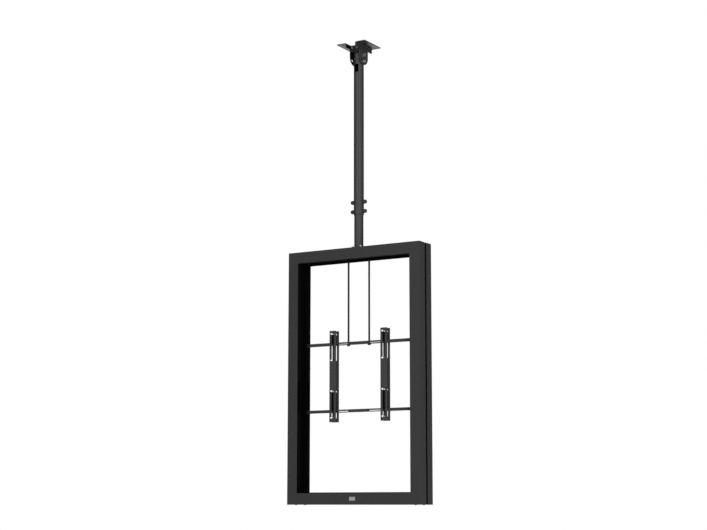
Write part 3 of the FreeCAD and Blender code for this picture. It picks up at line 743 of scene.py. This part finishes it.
def add_hex_nut(mesh, flats, height, bore):
    """A nut with turned ends and a countersunk hole."""
    cone = cone_share * flats
    sink = sink_share * bore
    upper = [hex_ring(flats, height, hex_count, cone), circle(cone, height, hex_count),
             circle(bore + sink, height, hex_count), circle(bore, height - sink, hex_count)]
    lower = [[(x, y, height - z) for x, y, z in ring] for ring in reversed(upper)]
    add_rings(mesh, lower + upper, hollow=True)


print("chamfer slope:", round(chamfer_slope, 3))

# %% Shank and thread
shank_count = 24
groove_share = 0.55
crest_share = 0.985
end_rise = 0.35
end_cut = 1.6


def add_thread(mesh, radius, low, high, pitch):
    """A screw thread between two heights, ending in a small cone."""
    crest = crest_share * radius
    depth = groove_share * pitch
    turns = int((high - low - pitch) / pitch)
    rings = [circle(crest - depth, low, shank_count)]
    for step in range(2 * turns):
        reach = crest if step % 2 else crest - depth
        base = low + step * pitch / 2
        rings.append([ring_point(reach, k, shank_count, base + pitch * k / shank_count)
                      for k in range(shank_count)])
    rings.append(circle(crest - depth, high - end_rise * pitch, shank_count))
    rings.append(circle(crest - end_cut * depth, high, shank_count))
    add_rings(mesh, rings)


def add_shank(mesh, radius, plain, length, pitch):
    """A plain bar that goes over into a thread."""
    add_rings(mesh, [circle(radius, 0.0, shank_count), circle(radius, plain, shank_count)])
    add_thread(mesh, radius, plain, length, pitch)


print("thread ring points:", shank_count)

# %% [markdown]
# Bolts in place
#
# The head and the tops of the rods are held by zinc-plated bolts and nuts, and the bars and rails by
# blackened ones. They could be copied and placed by hand, but the plain solids already say where each one
# sits. So a new mesh is built in the box of each plain one and stands in for it.

# %% Build at a place
right = Vector((1, 0, 0))
ahead = Vector((0, 1, 0))
up = Vector((0, 0, 1))


def build_at(mesh, place, axis, build, *sizes):
    """Build a form about the upright axis, then turn it along a direction and move it to a place."""
    first = len(mesh.verts)
    build(mesh, *sizes)
    mesh.verts.ensure_lookup_table()
    turn = up.rotation_difference(axis).to_matrix().to_4x4()
    moved = [mesh.verts[k] for k in range(first, len(mesh.verts))]
    bmesh.ops.transform(mesh, matrix=Matrix.Translation(place) @ turn, verts=moved)


print("axes:", tuple(right), tuple(ahead), tuple(up))


# %% Keep a piece
def keep_piece(name, mesh, finish, body, stands_for=(), sharp_angle=28):
    """Turn a mesh into an object that rides on a body, smooth but for edges sharper than an angle."""
    bmesh.ops.recalc_face_normals(mesh, faces=mesh.faces)
    data = bpy.data.meshes.new(name)
    mesh.to_mesh(data)
    mesh.free()
    data.materials.append(finish)
    data.polygons.foreach_set("use_smooth", [True] * len(data.polygons))
    data.set_sharp_from_angle(angle=math.radians(sharp_angle))
    piece = add_object(name, data)
    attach(piece, body)
    if stands_for:
        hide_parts(*stands_for)
    return piece


# %% Detailed bolts
flats_per_radius = 3.25
head_per_radius = 1.3
pitch_per_radius = 0.25
least_pitch = 0.00025
plain_share = 0.55


def across(low, high, axis):
    """Size of a box along an axis, the smaller size across it, and the number of the axis."""
    size = high - low
    along = max(range(3), key=lambda k: abs(axis[k]))
    return size[along], min(size[k] for k in range(3) if k != along), along


def hex_bolts(name, node_name, body, finish, axis, both_sides=False):
    """Detailed bolts in the places of plain ones, heads along an axis or to both sides of the middle."""
    mesh = bmesh.new()
    places = solids_of(node_name)
    for low, high in places:
        top = (low + high) / 2
        towards = axis * math.copysign(1, top.dot(axis)) if both_sides else axis
        length, flats, along = across(low, high, towards)
        radius = flats / flats_per_radius
        head = head_per_radius * radius
        shank = length - head
        pitch = pitch_per_radius * radius + least_pitch
        top[along] = high[along] if towards[along] > 0 else low[along]
        seat = top - towards * head
        build_at(mesh, seat, towards, add_hex_head, flats, head)
        build_at(mesh, seat, -towards, add_shank, radius, plain_share * shank, shank, pitch)
    keep_piece(name, mesh, finish, body, (node_name,))
    print(name, len(places), "of", round(2 * radius * 1000, 1), "mm")


print("flats of an 8 mm bolt:", flats_per_radius * 4.0)


# %% Detailed nuts
def hex_nuts(name, node_name, body, finish, axis):
    """Detailed nuts in the places of a node's plain ones."""
    mesh = bmesh.new()
    places = solids_of(node_name)
    for low, high in places:
        height, flats, along = across(low, high, axis)
        base = (low + high) / 2
        base[along] = low[along]
        build_at(mesh, base, axis, add_hex_nut, flats, height, flats / flats_per_radius)
    keep_piece(name, mesh, finish, body, (node_name,))
    print(name, len(places))


print("points round a nut:", hex_count)

# %% Bolts and nuts of the head, the rods and the rails
hex_bolts("tie_bolt_set", "tie_bolts", "head", zinc, ahead, both_sides=True)
hex_nuts("tie_nut_set", "tie_nuts", "head", zinc, ahead)
hex_bolts("pivot_bolt_full", "pivot_bolt", "head", highlit_zinc, right)
hex_nuts("pivot_nut_full", "pivot_nut", "head", zinc, right)
hex_bolts("lock_bolt_full", "lock_bolt", "mast", highlit_zinc, right)
hex_nuts("lock_nut_full", "lock_nut", "mast", zinc, right)
hex_nuts("rod_top_nut_set", "rod_top_nuts", "frame", zinc, up)
hex_nuts("rod_bar_nut_set", "rod_bar_nuts", "frame", blackened, up)
for hand in ("left", "right"):
    body = hand + "_rails"
    hex_bolts(hand + "_rail_bolt_set", hand + "_rail_bolts", body, blackened, -ahead)
    hex_nuts(hand + "_rail_nut_set", hand + "_rail_nuts", body, blackened, ahead)

# %% [markdown]
# Socket screws
#
# The foot of the mast is held by socket screws. Their heads are knurled for the fingers and have a
# six-sided hole for a key. A knurl could be a bump, but on a round head it breaks the outline, so every
# second point of the ring is set in a little. The casing's corner screws are low domes with the same kind
# of hole.

# %% Shape of a socket screw
screw_count = 96
knurl_inset = 0.965
head_per_shank = 1.625
edge_share = 0.12
key_per_radius = 1.5
key_mouth = 1.12
key_bevel = 0.1
knurl_foot = 1.3
knurl_top = 0.82
neck_reach = 0.97
neck_height = 0.85


def knurled(radius, height, count):
    """A ring with a fine zigzag."""
    return [ring_point(radius * (1.0 if k % 2 else knurl_inset), k, count, height) for k in range(count)]


def socket_head(head_radius, radius):
    """Rings of a knurled head as tall as its shank is wide, with a six-sided hole."""
    height = 2 * radius
    edge = edge_share * head_radius
    key_flats = key_per_radius * radius
    return [circle(head_radius - edge, 0.0, screw_count), circle(head_radius, edge, screw_count),
            knurled(head_radius, knurl_foot * edge, screw_count),
            knurled(head_radius, knurl_top * height, screw_count),
            circle(head_radius * neck_reach, neck_height * height, screw_count),
            circle(head_radius - edge, height, screw_count),
            hex_ring(key_mouth * key_flats, height, screw_count),
            hex_ring(key_flats, height - key_bevel * radius, screw_count),
            hex_ring(key_flats, height - radius, screw_count)]


print("rings of a head:", len(socket_head(head_per_shank, 1.0)))

# %% Foot screws
foot_plain_share = 0.5
foot_pitch = 0.00125
mesh = bmesh.new()
foot_places = solids_of("base_bolts")
for low, high in foot_places:
    head_radius = (high.x - low.x) / 2
    radius = head_radius / head_per_shank
    seat = Vector(((low.x + high.x) / 2, (low.y + high.y) / 2, high.z - 2 * radius))
    shank = seat.z - low.z
    build_at(mesh, seat, up, add_rings, socket_head(head_radius, radius))
    build_at(mesh, seat, -up, add_shank, radius, foot_plain_share * shank, shank, foot_pitch)
keep_piece("foot_screws", mesh, highlit_zinc, "frame", ("base_bolts",))
print("foot screws:", len(foot_places))

# %% Corner screws
dome_count = 48
dome_rise = 0.48
dome_outline = [(1.0, 0.0), (0.985, 0.25), (0.88, 0.62), (0.68, 0.88), (0.50, 1.0)]
dome_key_flats = 0.7
dome_key_heights = (0.98, 0.35)
thread_share = 0.48
corner_pitch = 0.0008
mesh = bmesh.new()
corner_places = solids_of("casing_screws")
casing_mid = sum(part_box("front_casing"), Vector()).z / 2
for low, high in corner_places:
    out = up * math.copysign(1, (low.z + high.z) / 2 - casing_mid)
    radius = (high.x - low.x) / 2
    rise = dome_rise * radius
    tip = (low + high) / 2
    tip.z = high.z if out.z > 0 else low.z
    seat = tip - out * rise
    shank = (high.z - low.z) - rise
    rings = [circle(r * radius, z * rise, dome_count) for r, z in dome_outline]
    rings += [hex_ring(dome_key_flats * radius, z * rise, dome_count) for z in dome_key_heights]
    build_at(mesh, seat, out, add_rings, rings)
    build_at(mesh, seat, -out, add_thread, thread_share * radius, 0.0, shank, corner_pitch)
keep_piece("corner_screws", mesh, blackened, "frame", ("casing_screws",), sharp_angle=35)
print("corner screws:", len(corner_places))

# %% [markdown]
# Domed caps and the weld
#
# The clamp bolts end in moulded caps: a collar, a shallow waist and a dome. Turning an outline round the
# bolt is the natural way. Where the mast meets its foot there is a weld, laid in short pulses that leave
# overlapping ripples, so its section swells and thins along the way round.

# %% Clamp caps
cap_count = 56
cap_dome = 0.909
cap_outline = [(0.96, 0.0), (1.0, 0.04), (1.0, 0.16), (0.95, 0.20), (0.95, 0.30), (1.0, 0.35), (1.0, 1.0)]
dome_leans = [math.radians(lean) for lean in range(9, 90, 9)]
mesh = bmesh.new()
cap_places = solids_of("clamp_caps")
for low, high in cap_places:
    out = right * math.copysign(1, (low.x + high.x) / 2)
    radius = (high.z - low.z) / 2
    dome = cap_dome * radius
    straight = high.x - low.x - dome
    base = (low + high) / 2
    base.x = low.x if out.x > 0 else high.x
    outline = [(r, z * straight) for r, z in cap_outline]
    outline += [(math.cos(lean), straight + dome * math.sin(lean)) for lean in dome_leans]
    build_at(mesh, base, out, add_rings, [circle(radius * r, z, cap_count) for r, z in outline])
keep_piece("clamp_cap_set", mesh, cap_moulding, "mast", ("clamp_caps",), sharp_angle=40)
print("clamp caps:", len(cap_places))

# %% Weld round the foot
tube_low, tube_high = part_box("lower_tube")
tube_radius = (tube_high.y - tube_low.y) / 2
weld_leg = 0.0024
weld_overlap = 0.0006
weld_bulge = 0.92
weld_leans = [math.radians(lean) for lean in range(15, 90, 15)]
around = 240
pulses = 46
ripple = 0.10
wander_waves = 5
wander_share = 0.05
wander_phase = 1.0
mesh = bmesh.new()
sections = []
for k in range(around):
    angle = 2 * math.pi * k / around
    wander = wander_share * math.sin(wander_waves * angle + wander_phase)
    swell = 1.0 + ripple * abs(math.sin(pulses * angle / 2)) + wander
    size = weld_leg * swell / (1.0 + ripple + wander_share)
    section = [(tube_radius - weld_overlap, 0.0), (tube_radius + size, 0.0)]
    section += [(tube_radius + weld_bulge * size * math.cos(lean), weld_bulge * size * math.sin(lean))
                for lean in weld_leans]
    section.append((tube_radius - weld_overlap, size))
    sections.append([(r * math.cos(angle), r * math.sin(angle), tube_low.z + z) for r, z in section])
add_rings(mesh, sections, hollow=True)
weld = keep_piece("foot_weld", mesh, casing_coat, "frame", sharp_angle=60)
print("weld points:", len(weld.data.vertices))

# %% [markdown]
# Badge plate
#
# A small bare plate sits at the middle of the lower face. Pressed plates have a rolled rim that catches
# the light, with the field a little lower. A bevel on a block would round the rim but leave the field
# level, so the plate is built as rounded rings, one inside the other.

# %% Rounded rings
corner_steps = 6


def rounded_ring(half_width, half_height, corner, depth):
    """A rounded rectangle in the plane of the casing's face."""
    ring = []
    for turn, (sx, sz) in enumerate([(1, 1), (-1, 1), (-1, -1), (1, -1)]):
        for step in range(corner_steps + 1):
            angle = math.radians(90 * turn + 90 * step / corner_steps)
            ring.append((sx * (half_width - corner) + corner * math.cos(angle), depth,
                         sz * (half_height - corner) + corner * math.sin(angle)))
    return ring


print("points in a rounded ring:", len(rounded_ring(2.0, 1.0, 0.5, 0.0)))

# %% Badge plate
plate_low, plate_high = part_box("badge_plate")
plate_middle = (plate_low + plate_high) / 2
plate_wide = (plate_high.x - plate_low.x) / 2
plate_tall = (plate_high.z - plate_low.z) / 2
back_face = plate_high.y
front_face = plate_low.y
plate_corner = 0.0016
corner_share = 0.5
edge_round = 0.0002
rim = 0.0012
rim_fall = 0.0003
field_depth = 0.0004
ring_plan = [(0.0, back_face), (0.0, front_face + edge_round), (edge_round, front_face), (rim, front_face),
             (rim + rim_fall, front_face + field_depth)]
mesh = bmesh.new()
add_rings(mesh, [rounded_ring(plate_wide - inset, plate_tall - inset,
                              plate_corner - corner_share * inset, depth) for inset, depth in ring_plan])
bmesh.ops.translate(mesh, vec=Vector((plate_middle.x, 0.0, plate_middle.z)), verts=mesh.verts)
badge = keep_piece("badge_rimmed", mesh, badge_metal, "frame", ("badge_plate",), sharp_angle=30)
print("badge points:", len(badge.data.vertices))
